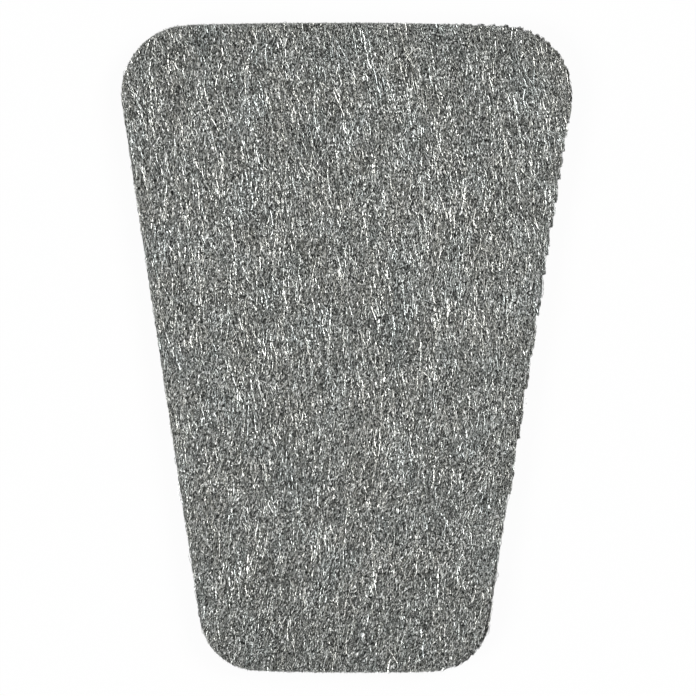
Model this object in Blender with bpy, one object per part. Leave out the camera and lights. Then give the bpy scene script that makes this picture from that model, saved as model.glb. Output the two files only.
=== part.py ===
# Tapered hand pad of steel wool. It is one springy mat of combed steel strands,
# cut to outline by a die whose edge squeezes the rim thinner than the middle.
# Metres. +Z is up and +Y points to the wide end. The origin is on the bench,
# under the centre of the pad.

import math
import random

import bmesh
import bpy
from mathutils import Vector, geometry, noise

# Outline, seen from above
pad_length = 0.100
wide_end_width = 0.0729  # where the side lines meet the wide end, before its corners are rounded
narrow_end_width = 0.0421
wide_corner_radius = 0.0105
narrow_corner_radius = 0.0091
wide_end_bow = 0.0004  # how far each end swells out between its corners
narrow_end_bow = 0.0002

# Section
pad_thickness = 0.006
top_edge_radius = 0.0012
bottom_edge_radius = 0.0007
rim_squeeze = 0.18  # share of the thickness that the die takes off at the cut edge
rim_band = 0.007  # how far in from the edge the wool has sprung back

# Combed strands. Each raised lozenge stands for a lock of strands.
lock_width = 0.00125
lock_length = 0.0078
lock_relief = 0.0005  # from the highest crest to the deepest gap
crest_depths = (0.0, 0.35)  # shares of the relief, so that no two locks stand alike
gap_depths = (0.65, 1.0)
strand_sweep = 0.0044  # how far the locks bend to -X between the middle and each end
strand_wander = 0.0007
wander_length = 0.016
comb_stray = 0.25  # how far a knot of the pattern strays, in steps of the comb
comb_seed = 7

# Slits in the underside, between locks that the bench presses flat
slit_every = 8  # columns of the comb from one slit to the next
slit_depth = 0.0004
slit_shares = (0.5, 1.0)

# Facets
corner_facets = 9
end_facets = 6
edge_facets = 3
sharpest_smooth_angle = math.radians(35)
blank_margin = 0.004  # wool that the die trims away all round
die_clearance = 0.0003  # how far the die reaches past both faces of the wool

steel_colour = (0.27, 0.275, 0.265, 1.0)
steel_roughness = 0.42
steel_metallic = 0.9


def clear_scene():
    for old in list(bpy.data.objects):
        bpy.data.objects.remove(old, do_unlink=True)


def steel_wool_material():
    material = bpy.data.materials.new("steel_wool")
    material.use_nodes = True
    shader = material.node_tree.nodes["Principled BSDF"]
    shader.inputs["Base Color"].default_value = steel_colour
    shader.inputs["Roughness"].default_value = steel_roughness
    shader.inputs["Metallic"].default_value = steel_metallic
    return material


def side_taper():
    """Angle of each side line from +Y."""
    return math.atan2((wide_end_width - narrow_end_width) / 2, pad_length)


def side_x(y):
    """Half the width between the side lines at y."""
    middle = (wide_end_width + narrow_end_width) / 4
    return middle + y * math.tan(side_taper())


def corner_arc(radius, bow, end, start_angle, stop_angle):
    """Points round one corner on the +X side. end is 1 at the wide end and -1 at the narrow end."""
    y = end * (pad_length / 2 - bow - radius)
    x = side_x(y) - radius / math.cos(side_taper())
    points = []
    for step in range(corner_facets + 1):
        angle = start_angle + (stop_angle - start_angle) * step / corner_facets
        points.append((x + radius * math.cos(angle), y + radius * math.sin(angle)))
    return points


def end_bow(corner_x, bow, end):
    """Points of the +X half of a bowed end, from its middle out to where the corner starts."""
    points = []
    for step in range(end_facets):
        share = step / end_facets
        points.append((corner_x * share, end * (pad_length / 2 - bow * share**2)))
    return points


def outline():
    """The pad's edge as a closed counter-clockwise loop, starting at the middle of the narrow end."""
    square_on = math.pi / 2
    narrow = corner_arc(narrow_corner_radius, narrow_end_bow, -1, -square_on, -side_taper())
    wide = corner_arc(wide_corner_radius, wide_end_bow, 1, -side_taper(), square_on)
    narrow_end = end_bow(narrow[0][0], narrow_end_bow, -1)
    wide_end = end_bow(wide[-1][0], wide_end_bow, 1)
    right = narrow_end + narrow + wide + wide_end[::-1]
    left = [(-x, y) for x, y in right[-2:0:-1]]
    return [Vector(point) for point in right + left]


def rim_distance(point, edge):
    """How far point lies from the nearest stretch of the edge."""
    nearest = math.inf
    for here, there in zip(edge, edge[1:] + edge[:1]):
        share = geometry.intersect_point_line(point, here, there)[1]
        share = min(max(share, 0.0), 1.0)
        nearest = min(nearest, (point - here.lerp(there, share)).length)
    return nearest


def combed_place(column, row, dice):
    """Where one knot of the combed pattern lies, seen from above. Both counts start at the origin."""
    x = (column + dice.uniform(-comb_stray, comb_stray)) * lock_width / 2
    y = (row + dice.uniform(-comb_stray, comb_stray)) * lock_length / 2
    wander = strand_wander * noise.noise(Vector((x, y, 0.0)) / wander_length)
    bend = strand_sweep * (2 * y / pad_length) ** 2
    return x + wander - bend, y


def is_crest(column, row):
    return (column + row) % 2 == 0


def is_slit(column, row):
    """Slits of one row lie halfway between those of the next, and the wool at the origin stays flat."""
    first = slit_every // 4 if row % 2 == 0 else -slit_every // 4
    return (column - first) % slit_every == 0


def combed_knots(columns, rows):
    """Knots of the top face and of the underside, row by row."""
    dice = random.Random(comb_seed)
    top, bottom = [], []
    for row in range(-rows, rows + 1):
        for column in range(-columns, columns + 1):
            x, y = combed_place(column, row, dice)
            depth = dice.uniform(*(crest_depths if is_crest(column, row) else gap_depths))
            rise = dice.uniform(*slit_shares) if is_slit(column, row) else 0.0
            top.append((x, y, pad_thickness - lock_relief * depth))
            bottom.append((x, y, slit_depth * rise))
    return top, bottom


def combed_faces(columns, rows):
    """Faces between the knots. The underside's knots are numbered after those of the top face."""
    across = 2 * columns + 1
    along = 2 * rows + 1
    below = across * along
    faces = []
    for row in range(along - 1):
        for column in range(across - 1):
            a = row * across + column
            b, c, d = a + 1, a + across + 1, a + across
            # each cell folds along the line between its two crests
            if is_crest(column - columns, row - rows):
                halves = ((a, b, c), (a, c, d))
            else:
                halves = ((a, b, d), (b, c, d))
            for half in halves:
                faces.append(half)
                faces.append(tuple(knot + below for knot in half[::-1]))
    border = list(range(across))
    border += [row * across + across - 1 for row in range(1, along)]
    border += [(along - 1) * across + column for column in range(across - 2, -1, -1)]
    border += [row * across for row in range(along - 2, 0, -1)]
    for here, there in zip(border, border[1:] + border[:1]):
        faces.append((here + below, there + below, there, here))
    return faces


def combed_blank():
    """A block of wool larger than the pad, with locks raised on top and slits between locks below."""
    half_width = wide_end_width / 2 + strand_sweep + strand_wander + blank_margin
    columns = math.ceil(half_width / (lock_width / 2))
    rows = math.ceil((pad_length / 2 + blank_margin) / (lock_length / 2))
    top, bottom = combed_knots(columns, rows)
    mesh = bpy.data.meshes.new("combed_blank")
    mesh.from_pydata(top + bottom, [], combed_faces(columns, rows))
    blank = bpy.data.objects.new("combed_blank", mesh)
    bpy.context.collection.objects.link(blank)
    return blank


def height_of(face):
    return face.calc_center_median().z


def round_rim(shape, face, radius):
    """Rounds the edges all round one flat face."""
    bmesh.ops.bevel(
        shape,
        geom=list(face.edges),
        offset=radius,
        offset_type="OFFSET",
        segments=edge_facets,
        profile=0.5,
        affect="EDGES",
    )


def cutting_die(edge):
    """The space inside the die: the outline extruded through the wool, with both rims rounded."""
    shape = bmesh.new()
    floor = shape.faces.new([shape.verts.new((x, y, -die_clearance)) for x, y in edge])
    grown = bmesh.ops.extrude_face_region(shape, geom=[floor])["geom"]
    risen = [item for item in grown if isinstance(item, bmesh.types.BMVert)]
    bmesh.ops.translate(shape, verts=risen, vec=(0, 0, pad_thickness + 2 * die_clearance))
    bmesh.ops.recalc_face_normals(shape, faces=shape.faces)
    round_rim(shape, max(shape.faces, key=height_of), top_edge_radius)
    round_rim(shape, min(shape.faces, key=height_of), bottom_edge_radius)
    mesh = bpy.data.meshes.new("cutting_die")
    shape.to_mesh(mesh)
    shape.free()
    die = bpy.data.objects.new("cutting_die", mesh)
    bpy.context.collection.objects.link(die)
    return die


def cut_out(blank, die, name):
    """The wool that stays inside the die, as an object of its own."""
    cut = blank.modifiers.new("die_cut", "BOOLEAN")
    cut.operation = "INTERSECT"
    cut.solver = "EXACT"
    cut.object = die
    graph = bpy.context.evaluated_depsgraph_get()
    mesh = bpy.data.meshes.new_from_object(blank.evaluated_get(graph))
    mesh.name = name
    for used in (blank, die):
        bpy.data.objects.remove(used, do_unlink=True)
    pad = bpy.data.objects.new(name, mesh)
    bpy.context.collection.objects.link(pad)
    return pad


def squeeze_rim(pad, edge):
    """Lowers the wool near the cut edge, as the die leaves it."""
    for vertex in pad.data.vertices:
        depth_in = rim_distance(vertex.co.xy, edge) / rim_band
        spring_back = min(depth_in, 1.0)
        squeeze = rim_squeeze * (1 - spring_back) ** 2
        vertex.co.z *= 1 - squeeze


def build():
    clear_scene()
    edge = outline()
    pad = cut_out(combed_blank(), cutting_die(edge), "wool_pad")
    squeeze_rim(pad, edge)
    pad.data.materials.clear()
    pad.data.materials.append(steel_wool_material())
    pad.data.shade_smooth()
    pad.data.set_sharp_from_angle(angle=sharpest_smooth_angle)


build()
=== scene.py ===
import math
import random

import bmesh
import bpy
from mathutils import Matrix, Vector, geometry, noise


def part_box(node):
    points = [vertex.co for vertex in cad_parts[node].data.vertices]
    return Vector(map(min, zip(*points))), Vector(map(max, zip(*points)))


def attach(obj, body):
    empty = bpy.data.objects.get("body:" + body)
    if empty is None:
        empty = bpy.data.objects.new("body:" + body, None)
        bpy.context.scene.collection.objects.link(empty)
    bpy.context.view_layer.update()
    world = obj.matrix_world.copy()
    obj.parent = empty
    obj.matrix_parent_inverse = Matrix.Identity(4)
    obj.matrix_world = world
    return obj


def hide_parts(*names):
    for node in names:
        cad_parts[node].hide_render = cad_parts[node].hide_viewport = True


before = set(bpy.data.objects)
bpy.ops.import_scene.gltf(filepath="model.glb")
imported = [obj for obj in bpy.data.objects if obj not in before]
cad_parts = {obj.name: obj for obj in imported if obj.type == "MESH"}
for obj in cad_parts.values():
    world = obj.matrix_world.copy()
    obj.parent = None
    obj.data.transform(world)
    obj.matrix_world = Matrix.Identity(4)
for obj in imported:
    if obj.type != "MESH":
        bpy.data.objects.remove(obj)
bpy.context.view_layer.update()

# Tapered hand pad of steel wool, lying on a pale floor and seen from straight above.
# Metres. +Y points to the wide end, +Z up, and the floor is at 0.

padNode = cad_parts["wool_pad"]
padLow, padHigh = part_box("wool_pad")
padLength = padHigh.y - padLow.y

cameraLook = {
    "viewWidth": 0.10689,  # what the picture spans at the height of the rim
    "rimHeight": 0.0045,
    "distance": 0.9,
    "aside": 0.00034,
    "along": -0.00005,
    "turn": 0.2,  # in degrees
    "sensor": 36.0,
}


def makeCamera(look):
    data = bpy.data.cameras.new("topCamera")
    data.sensor_width = look["sensor"]
    data.lens = look["sensor"] * (look["distance"] - look["rimHeight"]) / look["viewWidth"]
    camera = bpy.data.objects.new("topCamera", data)
    camera.location = (look["aside"], look["along"], look["distance"])
    camera.rotation_euler = (0, 0, math.radians(look["turn"]))
    bpy.context.scene.collection.objects.link(camera)
    bpy.context.scene.camera = camera


makeCamera(cameraLook)
print("camera set")


# A socket that takes part in Python maths. Each operator adds its Math node.
class Wire:
    def __init__(self, graph, socket):
        self.graph = graph
        self.socket = socket

    def of(self, name):
        shown = [output for output in self.socket.node.outputs if output.enabled]
        return Wire(self.graph, next(output for output in shown if output.name == name))

    def maths(self, operation, *others):
        return self.graph.maths(operation, self, *others)

    def __add__(self, other):
        return self.maths("ADD", other)

    def __sub__(self, other):
        return self.maths("SUBTRACT", other)

    def __rsub__(self, other):
        return self.graph.maths("SUBTRACT", other, self)

    def __mul__(self, other):
        return self.maths("MULTIPLY", other)

    def __truediv__(self, other):
        return self.maths("DIVIDE", other)

    def __pow__(self, other):
        return self.maths("POWER", other)

    def __lt__(self, other):
        return self.maths("LESS_THAN", other)

    def __gt__(self, other):
        return self.maths("GREATER_THAN", other)

    __radd__ = __add__
    __rmul__ = __mul__


class Graph:
    def __init__(self, tree):
        self.tree = tree

    # Makes a node of a kind, with its settings first and then its sockets, by name or by place.
    def add(self, kind, settings=None, values=None):
        node = self.tree.nodes.new(kind)
        for name, value in (settings or {}).items():
            if name == "stops":
                self.setStops(node.color_ramp, value)
            else:
                setattr(node, name, value)
        for key, value in (values or {}).items():
            shown = [socket for socket in node.inputs if socket.enabled]
            if isinstance(key, int):
                socket = shown[key]
            else:
                socket = next(one for one in shown if one.name == key)
            if isinstance(value, Wire):
                self.feed(value, socket)
            else:
                socket.default_value = value
        outputs = [output for output in node.outputs if output.enabled]
        return Wire(self, outputs[0]) if outputs else node

    def feed(self, wire, socket):
        self.tree.links.new(wire.socket, socket)

    def setStops(self, ramp, stops):
        while len(ramp.elements) < len(stops):
            ramp.elements.new(0.5)
        for element, (place, colour) in zip(ramp.elements, stops):
            element.position = place
            element.color = (*colour, 1.0)

    def maths(self, operation, *values):
        return self.add("ShaderNodeMath", {"operation": operation}, dict(enumerate(values)))

    def vector(self, operation, *values):
        return self.add("ShaderNodeVectorMath", {"operation": operation}, dict(enumerate(values)))

    def scaled(self, vector, factor):
        return self.add("ShaderNodeVectorMath", {"operation": "SCALE"}, {
            "Vector": vector, "Scale": factor,
        })

    def joined(self, x=0.0, y=0.0, z=0.0):
        return self.add("ShaderNodeCombineXYZ", None, {"X": x, "Y": y, "Z": z})

    def parted(self, vector):
        parts = self.add("ShaderNodeSeparateXYZ", None, {"Vector": vector})
        return parts, parts.of("Y"), parts.of("Z")

    def clouds(self, vector, size=1.0, detail=0.0, bite=0.5):
        return self.add("ShaderNodeTexNoise", None, {
            "Vector": vector, "Scale": 1 / size, "Detail": detail, "Roughness": bite,
        })

    # Runs from start to end while value runs from low to high, and stays there beyond.
    def ramped(self, value, low, high, start=0.0, end=1.0):
        return self.add("ShaderNodeMapRange", None, {
            "Value": value, "From Min": low, "From Max": high, "To Min": start, "To Max": end,
        })

    # Ends a shape tree: the made shape as one mesh, in its finish.
    def finished(self, made, finish):
        whole = self.add("GeometryNodeRealizeInstances", None, {"Geometry": made})
        done = self.add("GeometryNodeSetMaterial", None, {"Geometry": whole, "Material": finish})
        self.add("NodeGroupOutput", None, {"Geometry": done})
        return self.tree

    # Whether a ray comes from the camera or from a mirror or glass, which all see the plain background.
    def seenRay(self):
        rays = self.add("ShaderNodeLightPath")
        seen = rays.of("Is Camera Ray").maths("MAXIMUM", rays.of("Is Glossy Ray"))
        return seen.maths("MAXIMUM", rays.of("Is Transmission Ray"))


def newShapeTree(name, inputs):
    tree = bpy.data.node_groups.new(name, "GeometryNodeTree")
    tree.interface.new_socket("Geometry", in_out="INPUT", socket_type="NodeSocketGeometry")
    for label, kind in inputs.items():
        tree.interface.new_socket(label, in_out="INPUT", socket_type="NodeSocket" + kind)
    tree.interface.new_socket("Geometry", in_out="OUTPUT", socket_type="NodeSocketGeometry")
    graph = Graph(tree)
    return graph, graph.add("NodeGroupInput")


# Puts a mesh through a shape tree and keeps the result as a plain mesh.
def dressed(name, mesh, tree, values):
    worker = bpy.data.objects.new(name, mesh)
    bpy.context.scene.collection.objects.link(worker)
    modifier = worker.modifiers.new(name, "NODES")
    modifier.node_group = tree
    for item in tree.interface.items_tree:
        if item.in_out == "INPUT" and item.name in values:
            modifier[item.identifier] = values[item.name]
    graph = bpy.context.evaluated_depsgraph_get()
    made = bpy.data.meshes.new_from_object(worker.evaluated_get(graph))
    worker.modifiers.remove(modifier)
    worker.data = made
    made.name = name
    return worker


def trianglesOf(piece):
    return sum(len(face.vertices) - 2 for face in piece.data.polygons)


# How the wool is combed: it bends like a bow, wanders broadly and swirls in small patches.
flow = {
    "sweep": 0.0048,  # how far the combing bends to -X between its middle and half a pad away
    "middle": 0.008,  # where along the pad it runs straight
    "wander": 0.16,  # in radians, as the swirl is
    "wanderLength": 0.018,
    "swirl": 0.30,
    "swirlLength": 0.0040,
    "swirlDetail": 1.0,
    "tintLength": 0.006,
    "tintDetail": 2.0,
    "endDimming": 0.19,  # how much darker both ends are than the middle
    "narrowDimming": 0.03,  # half of how much darker the narrow end is than the wide one
}

strandFinish = {
    "tones": [
        (0.00, (0.010, 0.010, 0.010)),
        (0.12, (0.060, 0.063, 0.058)),
        (0.30, (0.190, 0.198, 0.187)),
        (0.45, (0.360, 0.373, 0.356)),
        (0.60, (0.620, 0.637, 0.612)),
        (0.75, (0.930, 0.945, 0.920)),
        (0.85, (1.000, 1.000, 1.000)),
    ],
    "toneMiddle": 1.07,
    "glintSwing": 9.5,
    "glintDashes": 380.0,  # the dashes of painted glint and darker strand for each unit up the UV map
    "swingDetail": 3.0,
    "swingBite": 0.8,
    "coolTint": (0.940, 0.995, 1.000),
    "warmTint": (1.000, 0.985, 0.942),
    "tintFrom": 0.30,
    "tintTo": 0.46,
    "roughnessLow": 0.27,
    "roughnessHigh": 0.40,
}

coreFinish = {
    "wireGap": 0.00019,
    "wireLength": 0.0011,
    "wireWidth": 0.06,  # as a share of the swing of the noise
    "leans": (-0.20, 0.15, 0.60),  # one layer of wires for each, in radians
    "dashLength": 0.0004,
    "dashDetail": 1.0,
    "dashSwing": 1.6,
    "darkTone": 0.00,
    "wireTone": 0.68,
    "sideMiddle": 0.0025,  # around this height the cut side is painted in shade, and its dashes are calmer
    "sideFrom": 0.0010,
    "sideTo": 0.0022,
    "sideShadeShare": 0.8,
    "sideSwing": 0.4,
    "roughness": 0.45,
    "bump": 0.8,
    "wireHeight": 0.0001,
    "layerStep": 7.7,  # keeps the layers of wires apart in the noise
}


# How far the combing has bent away at y, and its lean from the pad's length.
def bendAt(y):
    return ((y - flow["middle"]) * (2 / padLength)) ** 2 * flow["sweep"]


def leanAt(y):
    return (y - flow["middle"]) * (-8 * flow["sweep"] / padLength ** 2)


def newMaterial(name):
    material = bpy.data.materials.new(name)
    material.use_nodes = True
    graph = Graph(material.node_tree)
    shader = material.node_tree.nodes["Principled BSDF"]
    return material, graph, shader


# The tone of a strand is in its UV map: across is its own tone, with its painted shade, and up is its
# place in the swing of tone that paints glints in dashes along it.
def makeStrandMaterial(look):
    material, graph, shader = newMaterial("combedSteel")
    place = graph.add("ShaderNodeUVMap", {"uv_map": "OFBake"})
    across, up = graph.parted(place)[:2]
    # painted glints: dashes of light and dark along the strand, which the roughness follows
    swing = graph.add("ShaderNodeTexNoise", {"noise_dimensions": "1D"}, {
        "W": up, "Scale": look["glintDashes"], "Detail": look["swingDetail"], "Roughness": look["swingBite"],
    })
    tone = across * (look["toneMiddle"] + (swing - 0.5) * look["glintSwing"])
    grey = graph.add("ShaderNodeValToRGB", {"stops": look["tones"]}, {"Fac": tone})
    warmth = graph.ramped(up, look["tintFrom"], look["tintTo"])
    tint = graph.add("ShaderNodeMix", {"data_type": "RGBA"}, {
        "Factor": warmth, "A": (*look["coolTint"], 1.0), "B": (*look["warmTint"], 1.0),
    })
    colour = graph.add("ShaderNodeMix", {"data_type": "RGBA", "blend_type": "MULTIPLY"}, {
        "Factor": 1.0, "A": grey, "B": tint,
    })
    roughness = graph.ramped(swing, 0.0, 1.0, look["roughnessHigh"], look["roughnessLow"])
    graph.feed(colour, shader.inputs["Base Color"])
    graph.feed(roughness, shader.inputs["Roughness"])
    shader.inputs["Metallic"].default_value = 1.0
    return material


# Thin crossing wires drawn on the core, where the noise passes its middle. The core is painted darker
# than the strands over it, as shade in the gaps between them, and its dashes speckle it with tone and
# painted glints.
def makeCoreMaterial(look):
    material, graph, shader = newMaterial("feltedSteel")
    place = graph.add("ShaderNodeTexCoord").of("Object")
    x, y, z = graph.parted(place)
    x = x + bendAt(y)
    gap, reach = look["wireGap"], look["wireLength"]
    height = 0.0
    for layer, lean in enumerate(look["leans"]):
        across = x * math.cos(lean) - y * math.sin(lean)
        along = x * math.sin(lean) + y * math.cos(lean)
        upward = z / gap + layer * look["layerStep"]
        felt = graph.clouds(graph.joined(across / gap, along / reach, upward))
        ridge = (1 - (felt - 0.5).maths("ABSOLUTE") / look["wireWidth"]).maths("MAXIMUM", 0.0)
        height = ridge.maths("MAXIMUM", height)
    dashAt = graph.joined(x / gap, y / look["dashLength"], z / gap)
    dashes = graph.clouds(dashAt, detail=look["dashDetail"])
    face = graph.ramped((z - look["sideMiddle"]).maths("ABSOLUTE"), look["sideFrom"], look["sideTo"])
    swing = look["dashSwing"] * (look["sideSwing"] + face * (1 - look["sideSwing"]))
    tone = look["darkTone"] + height * look["wireTone"] + (dashes - 0.5) * swing
    # painted shade on the cut side
    tone = tone * (look["sideShadeShare"] + face * (1 - look["sideShadeShare"]))
    colour = graph.add("ShaderNodeValToRGB", {"stops": strandFinish["tones"]}, {"Fac": tone})
    bump = graph.add("ShaderNodeBump", None, {
        "Strength": look["bump"], "Distance": look["wireHeight"], "Height": height,
    })
    graph.feed(colour, shader.inputs["Base Color"])
    graph.feed(bump, shader.inputs["Normal"])
    shader.inputs["Roughness"].default_value = look["roughness"]
    shader.inputs["Metallic"].default_value = 1.0
    return material


strandMaterial = makeStrandMaterial(strandFinish)
coreMaterial = makeCoreMaterial(coreFinish)
print("finishes made")

# The cut edge that the strands end at. The die cut the left cleanly and tore the right into steps.
edgeLook = {
    "stride": 0.0002,
    "cleanNotch": 0.00006,
    "tornNotch": 0.00025,
    "notchLength": 0.0006,
    "tornFrom": 0.012,  # across the pad
    "tornOver": 0.010,
    "tornOut": 0.00026,  # the torn strands reach this far past the CAD edge
    "steepestStep": 0.3,
    "shallowestStep": 0.00010,
    "deepestStep": 0.00055,
    "seed": 5,
    "wallLow": 0.0003,
    "wallHigh": 0.0047,
    "fenceReach": 0.03,  # how far up and down the fence that stops the strands goes
}


# The CAD outline, counter-clockwise.
def padOutline():
    points = [Vector((vertex.co.x, vertex.co.y)) for vertex in padNode.data.vertices]
    line = [points[index] for index in geometry.convex_hull_2d(points)]
    doubleArea = sum(here.cross(there) for here, there in zip(line, line[1:] + line[:1]))
    return line if doubleArea > 0 else line[::-1]


# Follows the outline in short strides. On the torn side each step dips inwards, the faster the more the
# edge crosses the strands, until it is deep enough, and then a new one starts.
def cutLine(outline, look):
    dice = random.Random(look["seed"])
    line = []
    dip, deepest = 0.0, 0.0
    for here, there in zip(outline, outline[1:] + outline[:1]):
        strides = max(1, round((there - here).length / look["stride"]))
        heading = (there - here).normalized()
        inward = Vector((-heading.y, heading.x))
        for stride in range(strides):
            point = here.lerp(there, stride / strides)
            torn = min(max((point.x - look["tornFrom"]) / look["tornOver"], 0), 1)
            lean = leanAt(point.y)
            slope = abs(heading.cross(Vector((math.sin(lean), math.cos(lean)))))
            dip += min(slope, look["steepestStep"]) * (there - here).length / strides
            if dip > deepest:
                dip = 0.0
                deepest = dice.uniform(look["shallowestStep"], look["deepestStep"])
            ripple = noise.noise(Vector((point.x, point.y, 0)) / look["notchLength"]) * 0.5 + 0.5
            notch = look["cleanNotch"] + (look["tornNotch"] - look["cleanNotch"]) * torn
            line.append(point + inward * ((dip - look["tornOut"]) * torn + notch * ripple))
    return line


def newPiece(name, points, faces):
    mesh = bpy.data.meshes.new(name)
    mesh.from_pydata(points, [], faces)
    piece = bpy.data.objects.new(name, mesh)
    bpy.context.scene.collection.objects.link(piece)
    return piece


def makeFence(name, line, low, high):
    points = [(x, y, z) for z in (low, high) for x, y in line]
    count = len(line)
    faces = [(i, (i + 1) % count, (i + 1) % count + count, i + count) for i in range(count)]
    return newPiece(name, points, faces)


rodShape = {
    "sides": 3,
    "tipShare": 0.8,  # how thick the first and the last ring are
}


# A straight strand with pointed ends. Its attributes say how far along a corner is, where round the
# strand, how thick the strand is there, and whether it is on the crest, with its painted highlight, or a
# flank in painted shade.
def makeRod(rings, look):
    sides = look["sides"]
    tip = (0.5, 0.0, 0.0)
    along = [0.0]
    corners = [tip]
    for ring in range(rings):
        thick = 1.0 if 0 < ring < rings - 1 else look["tipShare"]
        for side in range(sides):
            along.append((ring + 0.5) / rings)
            corners.append((side / sides, thick, 1.0 if side == 0 else 0.0))
    along.append(1.0)
    corners.append(tip)
    last = len(along) - 1
    faces = []
    for side in range(sides):
        a, b = side, (side + 1) % sides
        faces.append((0, 1 + a, 1 + b))
        for ring in range(rings - 1):
            low = 1 + sides * ring
            high = low + sides
            faces.append((low + a, high + a, high + b, low + b))
        faces.append((last, last - sides + b, last - sides + a))
    points = [
        (math.cos(turn * math.tau) * thick, way, math.sin(turn * math.tau) * thick)
        for way, (turn, thick, crest) in zip(along, corners)
    ]
    rod = newPiece(f"rod{rings}", points, faces)
    rod.data.attributes.new("along", "FLOAT", "POINT").data.foreach_set("value", along)
    flat = [number for corner in corners for number in corner]
    rod.data.attributes.new("corner", "FLOAT_VECTOR", "POINT").data.foreach_set("vector", flat)
    return rod


cut = cutLine(padOutline(), edgeLook)
wall = makeFence("cutWall", cut, edgeLook["wallLow"], edgeLook["wallHigh"])
fence = makeFence("fence", cut, -edgeLook["fenceReach"], edgeLook["fenceReach"])
print("cut edge made")

# The felted wool under the loose strands.
coreShape = {
    "mergeWithin": 1e-7,
    "voxel": 0.0006,
    "sink": 0.00030,  # how far under the CAD model's top and bottom it lies
    "sideSink": 0.00008,
    "tornSink": 0.00065,  # how much farther in it lies on the torn side
    "streak": 0.00016,
    "streakWidth": 0.0007,
    "streakLength": 0.004,
    "streakDetail": 2.0,
}


# The CAD node's mesh with its loose triangles joined.
def mergedCopy(node, within):
    mesh = node.data.copy()
    shape = bmesh.new()
    shape.from_mesh(mesh)
    bmesh.ops.remove_doubles(shape, verts=shape.verts, dist=within)
    shape.to_mesh(mesh)
    shape.free()
    for name in [attribute.name for attribute in mesh.attributes if attribute.name.startswith("UV")]:
        mesh.attributes.remove(mesh.attributes[name])
    return mesh


def buildCoreTree(look):
    graph, given = newShapeTree("feltedCore", {
        "Sink": "Float", "Side Sink": "Float", "Torn Sink": "Float",
        "Streak": "Float", "Streak Width": "Float", "Streak Length": "Float", "Finish": "Material",
    })
    x, y, z = graph.parted(graph.add("GeometryNodeInputPosition"))
    wide = given.of("Streak Width")
    combed = graph.joined((x + bendAt(y)) / wide, y / given.of("Streak Length"), z / wide)
    streaks = graph.clouds(combed, detail=look["streakDetail"])
    normal = graph.add("GeometryNodeInputNormal")
    right, ahead, upward = graph.parted(normal)
    flat = upward.maths("ABSOLUTE")  # 1 on the top and the bottom, 0 on the cut side
    torn = graph.ramped(x, edgeLook["tornFrom"], edgeLook["tornFrom"] + edgeLook["tornOver"])
    sideSink = given.of("Side Sink") + torn * right.maths("MAXIMUM", 0.0) * given.of("Torn Sink")
    push = (streaks - 0.5) * given.of("Streak") * flat
    push = push - given.of("Sink") * flat - sideSink * (1 - flat)
    moved = graph.add("GeometryNodeSetPosition", None, {
        "Geometry": given.of("Geometry"), "Offset": graph.scaled(normal, push),
    })
    smooth = graph.add("GeometryNodeSetShadeSmooth", None, {"Geometry": moved})
    return graph.finished(smooth, given.of("Finish"))


def makeCore(skin, look):
    worker = bpy.data.objects.new("coreWorker", skin)
    bpy.context.scene.collection.objects.link(worker)
    remesh = worker.modifiers.new("remesh", "REMESH")
    remesh.mode = "VOXEL"
    remesh.voxel_size = look["voxel"]
    graph = bpy.context.evaluated_depsgraph_get()
    felt = bpy.data.meshes.new_from_object(worker.evaluated_get(graph))
    bpy.data.objects.remove(worker)
    tree = buildCoreTree(look)
    return dressed("woolCore", felt, tree, {
        "Sink": look["sink"], "Side Sink": look["sideSink"], "Torn Sink": look["tornSink"],
        "Streak": look["streak"], "Streak Width": look["streakWidth"],
        "Streak Length": look["streakLength"], "Finish": coreMaterial,
    })


skin = mergedCopy(padNode, coreShape["mergeWithin"])
core = makeCore(skin.copy(), coreShape)
print("core made,", trianglesOf(core), "triangles")

strandInputs = {"Fence": "Object", "Rod": "Object", "Finish": "Material", "Seed": "Int"}
for measure in (
    "Density", "Facing Low", "Facing High", "Shortest", "Longest", "Finest", "Coarsest", "Flatness",
    "Spread", "Stray Share", "Pitch", "Wave", "Wave Length", "Arc", "Shallow", "Deep",
    "Stick Left", "Stick Right", "Stick Play", "Tone Low", "Tone High", "Tone Bias",
    "Depth Shade", "Flank Shade Share", "Mottle", "Rim Shade Share", "Swing Pace",
):
    strandInputs[measure] = "Float"

strandRules = {
    "strayLean": 1.3,  # how far a stray may turn from the combing, in radians
    "crestRoll": 0.5,
    "rayLength": 0.3,  # longer than the pad, so that a ray from inside always meets the fence
    "shortestLeft": 0.0003,  # stubs shorter than this at the cut edge are dropped
    "raggedAt": 0.024,  # from the pad's middle to here, the strands stick out more and more
    "lowest": 0.00002,  # keeps the strands above the floor
    "mottleLength": 0.0167,
    "mottleDetail": 3.0,
    "mottleBite": 0.7,
    "rimLift": (0.4, 0.9),  # how far the skin faces up where the painted shade on the rim starts and ends
    "swingFrom": 0.05,
    "swingTint": 0.6,
    "swingPlay": 0.12,
    "waveDetail": 1.0,
    "waveFlatness": 0.7,
    "waveApart": 7310.0,  # keeps the strands apart in the noise that sways them
    "uvShare": 0.98,
    "uvMargin": 0.008,
    "uvTurn": 0.004,
}


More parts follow.
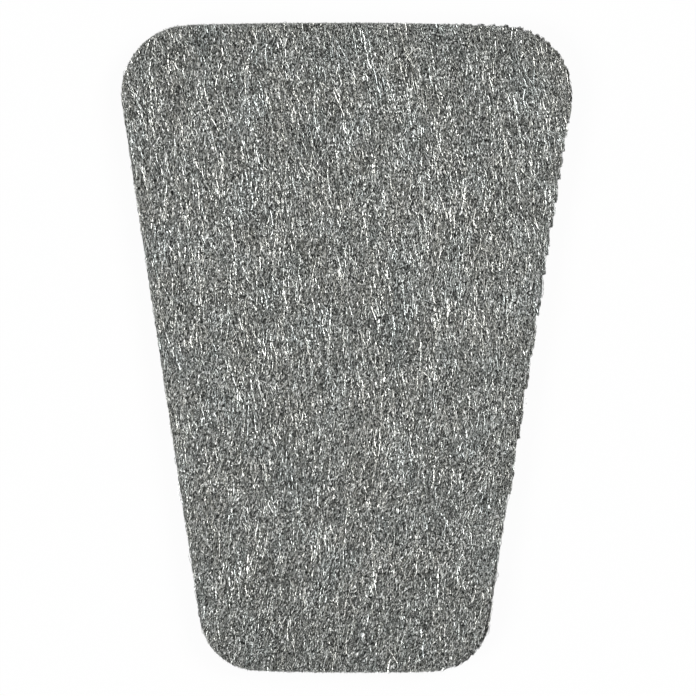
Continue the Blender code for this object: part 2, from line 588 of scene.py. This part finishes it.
def buildStrandTree(rules):
    graph, given = newShapeTree("combedStrands", strandInputs)
    seed = given.of("Seed")
    chance = [0]

    def between(low, high):
        chance[0] += 1
        return graph.add("FunctionNodeRandomValue", {"data_type": "FLOAT"}, {
            "Min": low, "Max": high, "Seed": seed * 100.0 + float(chance[0]),
        })

    def kept(mesh, name, value, kind="FLOAT_VECTOR", domain="POINT"):
        return graph.add("GeometryNodeStoreNamedAttribute", {"data_type": kind, "domain": domain}, {
            "Geometry": mesh, "Name": name, "Value": value,
        })

    def read(name, kind="FLOAT_VECTOR"):
        return graph.add("GeometryNodeInputNamedAttribute", {"data_type": kind}, {"Name": name})

    # points on the skin, or on the cut wall
    lift = graph.parted(graph.add("GeometryNodeInputNormal"))[2]
    facing = (lift > given.of("Facing Low")) * (lift < given.of("Facing High"))
    points = graph.add("GeometryNodeDistributePointsOnFaces", {"distribute_method": "RANDOM"}, {
        "Mesh": given.of("Geometry"), "Selection": facing, "Density": given.of("Density"), "Seed": seed,
    })
    outward = points.of("Normal")
    place = graph.add("GeometryNodeInputPosition")
    x, y = graph.parted(place)[:2]

    # which way the wool is combed there
    wander = graph.clouds(place, flow["wanderLength"])
    swirl = graph.clouds(place, flow["swirlLength"], flow["swirlDetail"])
    combed = leanAt(y) + (wander - 0.5) * 2 * flow["wander"] + (swirl - 0.5) * 2 * flow["swirl"]
    ownLean = (between(-1.0, 1.0) + between(-1.0, 1.0)) * given.of("Spread")
    strays = between(0.0, 1.0) < given.of("Stray Share")
    lean = combed + ownLean + strays * between(-rules["strayLean"], rules["strayLean"])
    climb = between(-1.0, 1.0) * given.of("Pitch")
    head = graph.joined(lean.maths("SINE"), lean.maths("COSINE"), climb)
    head = graph.vector("NORMALIZE", head)

    # its own tone, and how deep it lies, with painted shade on the deeper strands
    tone = between(0.0, 1.0) ** given.of("Tone Bias")
    tone = given.of("Tone Low") + tone * (given.of("Tone High") - given.of("Tone Low"))
    down = between(0.0, 1.0)
    depth = given.of("Shallow") + down * (given.of("Deep") - given.of("Shallow"))
    tone = tone * (1 - down * given.of("Depth Shade"))
    middle = graph.vector("SUBTRACT", place, graph.scaled(outward, depth))

    # how far it reaches before the cut edge
    fenceShape = graph.add("GeometryNodeObjectInfo", None, {"Object": given.of("Fence")}).of("Geometry")

    def reach(direction):
        ray = graph.add("GeometryNodeRaycast", None, {
            "Target Geometry": fenceShape, "Source Position": middle, "Ray Direction": direction,
            "Ray Length": rules["rayLength"],
        })
        return ray.of("Hit Distance") + (1 - ray.of("Is Hit")) * rules["rayLength"]

    share = between(0.0, 1.0)
    longest = between(0.0, 1.0) ** 2
    length = given.of("Shortest") + longest * (given.of("Longest") - given.of("Shortest"))
    stickLeft, stickRight = given.of("Stick Left"), given.of("Stick Right")
    farthest = graph.ramped(x, 0.0, rules["raggedAt"], stickLeft, stickRight)
    stick = farthest - between(0.0, 1.0) * given.of("Stick Play")
    front = (length * share).maths("MINIMUM", reach(head) + stick)
    back = (length * (1 - share)).maths("MINIMUM", reach(graph.scaled(head, -1.0)) + stick)
    start = graph.vector("SUBTRACT", middle, graph.scaled(head, back))
    run = graph.scaled(head, front + back)
    flatMiddle = graph.vector("MULTIPLY", middle, (1.0, 1.0, 0.0))
    home = graph.vector("LENGTH", flatMiddle).of("Value")
    outside = reach(graph.scaled(flatMiddle, -1.0)) < home

    # its width, which way its crest turns, and the tone at its place, with painted shade where the skin
    # turns down at the rim
    width = given.of("Finest") + between(0.0, 1.0) * (given.of("Coarsest") - given.of("Finest"))
    side = graph.vector("NORMALIZE", graph.vector("CROSS_PRODUCT", head, (0.0, 0.0, 1.0)))
    up = graph.vector("CROSS_PRODUCT", side, head)
    outSide = graph.vector("DOT_PRODUCT", outward, side).of("Value")
    outUp = graph.vector("DOT_PRODUCT", outward, up).of("Value")
    roll = outUp.maths("ARCTAN2", outSide)
    roll = roll + between(-rules["crestRoll"], rules["crestRoll"])
    cloud = kept(points, "start", start)
    cloud = kept(cloud, "run", run)
    cloud = kept(cloud, "shape", graph.joined(roll, width, between(0.0, 1.0)))
    broad = graph.clouds(place, rules["mottleLength"], rules["mottleDetail"], rules["mottleBite"])
    mottle = (broad - 0.5) * 2 * given.of("Mottle")
    way = y * (2 / padLength)
    dimming = way ** 4.0 * flow["endDimming"] - way * flow["narrowDimming"]
    shade = graph.ramped(graph.parted(outward)[2], *rules["rimLift"], given.of("Rim Shade Share"), 1.0)
    tint = graph.clouds(place, flow["tintLength"], flow["tintDetail"])
    swingAt = rules["swingFrom"] + tint * rules["swingTint"] + between(0.0, rules["swingPlay"])
    paced = (front + back) * given.of("Swing Pace")
    cloud = kept(cloud, "tone", graph.joined((tone + mottle - dimming) * shade, swingAt, paced))
    cloud = kept(cloud, "outside", outside, "FLOAT")
    bad = ((front + back) < rules["shortestLeft"]).maths("MAXIMUM", read("outside", "FLOAT"))
    cloud = graph.add("GeometryNodeDeleteGeometry", None, {"Geometry": cloud, "Selection": bad})

    # one rod at each point, bent into place ring by ring
    rod = graph.add("GeometryNodeObjectInfo", None, {"Object": given.of("Rod")}).of("Geometry")
    copies = graph.add("GeometryNodeInstanceOnPoints", None, {"Points": cloud, "Instance": rod})
    strands = graph.add("GeometryNodeRealizeInstances", None, {"Geometry": copies})
    along = read("along", "FLOAT")
    turn, thick, crest = graph.parted(read("corner"))
    roll, width, own = graph.parted(read("shape"))
    run = read("run")
    side = graph.vector("NORMALIZE", graph.vector("CROSS_PRODUCT", run, (0.0, 0.0, 1.0)))
    up = graph.vector("NORMALIZE", graph.vector("CROSS_PRODUCT", side, run))
    span = graph.vector("LENGTH", run).of("Value")
    angle = turn * math.tau + roll
    swayAt = graph.joined(own * rules["waveApart"], along * span / given.of("Wave Length"))
    sway = graph.clouds(swayAt, detail=rules["waveDetail"]).of("Color")
    swayX, swayY = graph.parted(sway)[:2]
    wave = given.of("Wave") * 2.0
    bow = along * (1 - along) * 4 * (own * 2 - 1) * given.of("Arc") * span
    offSide = angle.maths("COSINE") * thick * width * 0.5 + (swayX - 0.5) * wave + bow
    offUp = angle.maths("SINE") * thick * width * 0.5 * given.of("Flatness")
    offUp = offUp + (swayY - 0.5) * wave * rules["waveFlatness"]
    spot = graph.vector("ADD", read("start"), graph.scaled(run, along))
    spot = graph.vector("ADD", spot, graph.scaled(side, offSide))
    spot = graph.vector("ADD", spot, graph.scaled(up, offUp))
    spotX, spotY, spotZ = graph.parted(spot)
    spot = graph.joined(spotX, spotY, spotZ.maths("MAXIMUM", rules["lowest"]))
    strands = graph.add("GeometryNodeSetPosition", None, {"Geometry": strands, "Position": spot})

    toneAt, swingAt, paced = graph.parted(read("tone"))
    # the crest keeps the whole tone as a painted highlight, and the flanks keep only their share, as
    # painted shade
    toneAt = toneAt * (given.of("Flank Shade Share") + crest * (1 - given.of("Flank Shade Share")))
    toneAt = toneAt.maths("MINIMUM", 1.0).maths("MAXIMUM", 0.0)
    across = toneAt * rules["uvShare"] + rules["uvMargin"] + turn * rules["uvTurn"]
    uv = graph.joined(across, swingAt + along * paced)
    strands = kept(strands, "OFBake", uv, "FLOAT2", "CORNER")
    for name in ("start", "run", "shape", "tone", "outside", "along", "corner"):
        strands = graph.add("GeometryNodeRemoveAttribute", None, {"Geometry": strands, "Name": name})
    return graph.finished(strands, given.of("Finish"))


# What a piece doesn't set itself. Facing is how far up the mesh faces where its strands are.
everyStrand = {
    "on": "skin", "Facing Low": 0.3, "Facing High": 2.0,
    "Finest": 0.00006, "Coarsest": 0.00012, "Flatness": 0.8,
    "Spread": 0.25, "Stray Share": 0.18, "Pitch": 0.08,
    "Wave": 0.00020, "Wave Length": 0.0012, "Arc": 0.15, "Shallow": -0.00005, "Deep": 0.00042,
    "Stick Left": 0.00011, "Stick Right": 0.00016, "Stick Play": 0.00014,
    "Tone Low": 0.72, "Tone High": 1.45, "Tone Bias": 2.6, "Flank Shade Share": 0.05, "Mottle": 0.055,
    "Depth Shade": 0.4, "Rim Shade Share": 0.4, "Swing Pace": 6.7,
}

strandPieces = {
    "topLongStrands": {
        "rings": 9, "Density": 0.40e6, "Seed": 11,
        "Shortest": 0.003, "Longest": 0.007, "Stray Share": 0.08, "Spread": 0.20, "Arc": 0.10,
        "Coarsest": 0.00011, "Tone High": 1.5, "Tone Bias": 2.0, "Swing Pace": 3.2,
    },
    "topStrands": {
        "rings": 4, "Density": 1.28e6, "Seed": 23,
        "Shortest": 0.0015, "Longest": 0.0045, "Spread": 0.22, "Tone High": 1.7, "Swing Pace": 4.5,
    },
    "topCurls": {
        "rings": 3, "Density": 1.65e6, "Seed": 71,
        "Shortest": 0.0007, "Longest": 0.0024, "Arc": 0.4, "Spread": 0.36, "Stray Share": 0.3,
    },
    "topShortStrands": {
        "rings": 2, "Density": 2.5e6, "Seed": 37,
        "Shortest": 0.0004, "Longest": 0.0014, "Spread": 0.30, "Stray Share": 0.2, "Arc": 0.2,
        "Shallow": -0.00008, "Deep": 0.00030, "Tone Low": 0.60, "Tone High": 1.9, "Tone Bias": 2.8,
        "Swing Pace": 4.0,
    },
    "underStrands": {
        "rings": 2, "Density": 0.9e6, "Seed": 41, "Facing Low": -2.0, "Facing High": -0.3,
        "Shortest": 0.002, "Longest": 0.005, "Shallow": 0.00012, "Rim Shade Share": 1.0,
    },
    # the strands on the cut wall are painted darker, as shade on the cut side
    "rimStrands": {
        "rings": 2, "on": "wall", "Density": 7.0e6, "Seed": 59, "Facing Low": -2.0, "Facing High": 2.0,
        "Shortest": 0.0008, "Longest": 0.0030, "Spread": 0.35, "Stray Share": 0.35, "Pitch": 0.3,
        "Shallow": 0.00008, "Deep": 0.00030, "Tone Low": 0.15, "Tone High": 0.75, "Rim Shade Share": 1.0,
    },
}
strandTree = buildStrandTree(strandRules)
bases = {"skin": skin, "wall": wall.data}
rods = {}
strands = []
for name, own in strandPieces.items():
    look = {**everyStrand, **own}
    rings = look["rings"]
    if rings not in rods:
        rods[rings] = makeRod(rings, rodShape)
    values = {**look, "Fence": fence, "Rod": rods[rings], "Finish": strandMaterial}
    base = bases[look["on"]].copy()
    piece = dressed(name, base, strandTree, values)
    strands.append(piece)
    print(name, "made,", trianglesOf(piece), "triangles")
for helper in [fence, wall, *rods.values()]:
    bpy.data.objects.remove(helper)

studio = {
    "floorSize": 3.0,
    "floorDrop": 0.00002,
    "floorColour": (0.9, 0.9, 0.9, 1.0),
    "floorRoughness": 0.8,
    "white": (1.0, 1.0, 1.0, 1.0),
    "shadowShare": 0.06,  # how much of the floor's own light and shade shows
    "worldLevel": 0.32,
    "lamps": {"leftLamp": (-70, 50), "rightLamp": (110, 55)},  # azimuth and elevation, in degrees
    "lampPower": 3.0,
    "lampSize": 0.35,
    "lampDistance": 0.8,
}


def makeFloor(look):
    half = look["floorSize"] / 2
    z = -look["floorDrop"]
    corners = [(-half, -half, z), (half, -half, z), (half, half, z), (-half, half, z)]
    floor = newPiece("paleFloor", corners, [(0, 1, 2, 3)])
    material, graph, shader = newMaterial("paleFloor")
    shader.inputs["Base Color"].default_value = look["floorColour"]
    shader.inputs["Roughness"].default_value = look["floorRoughness"]
    whiteShare = graph.seenRay() * (1 - look["shadowShare"])
    white = graph.add("ShaderNodeEmission", None, {"Color": look["white"], "Strength": 1.0})
    lit = Wire(graph, shader.outputs["BSDF"])
    mixed = graph.add("ShaderNodeMixShader", None, {0: whiteShare, 1: lit, 2: white})
    graph.feed(mixed, material.node_tree.nodes["Material Output"].inputs["Surface"])
    floor.data.materials.append(material)
    return floor


def makeWorld(look):
    world = bpy.data.worlds.new("studio")
    bpy.context.scene.world = world
    world.use_nodes = True
    graph = Graph(world.node_tree)
    background = world.node_tree.nodes["Background"]
    background.inputs["Color"].default_value = look["white"]
    strength = look["worldLevel"] + graph.seenRay() * (1 - look["worldLevel"])
    graph.feed(strength, background.inputs["Strength"])


def makeLamp(name, azimuth, elevation, look):
    data = bpy.data.lights.new(name, "AREA")
    data.energy = look["lampPower"]
    data.size = look["lampSize"]
    lamp = bpy.data.objects.new(name, data)
    turn, rise = math.radians(azimuth), math.radians(elevation)
    level = math.cos(rise)
    away = Vector((math.sin(turn) * level, -math.cos(turn) * level, math.sin(rise)))
    lamp.location = away * look["lampDistance"]
    lamp.rotation_euler = (-away).to_track_quat("-Z", "Y").to_euler()
    bpy.context.scene.collection.objects.link(lamp)


floor = makeFloor(studio)
makeWorld(studio)
for name, (azimuth, elevation) in studio["lamps"].items():
    makeLamp(name, azimuth, elevation, studio)
bpy.context.scene.view_settings.view_transform = "Standard"
print("studio made")

for piece in [core, *strands]:
    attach(piece, "root")
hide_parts("wool_pad")

print("all pieces,", sum(trianglesOf(piece) for piece in [core, *strands]), "triangles")
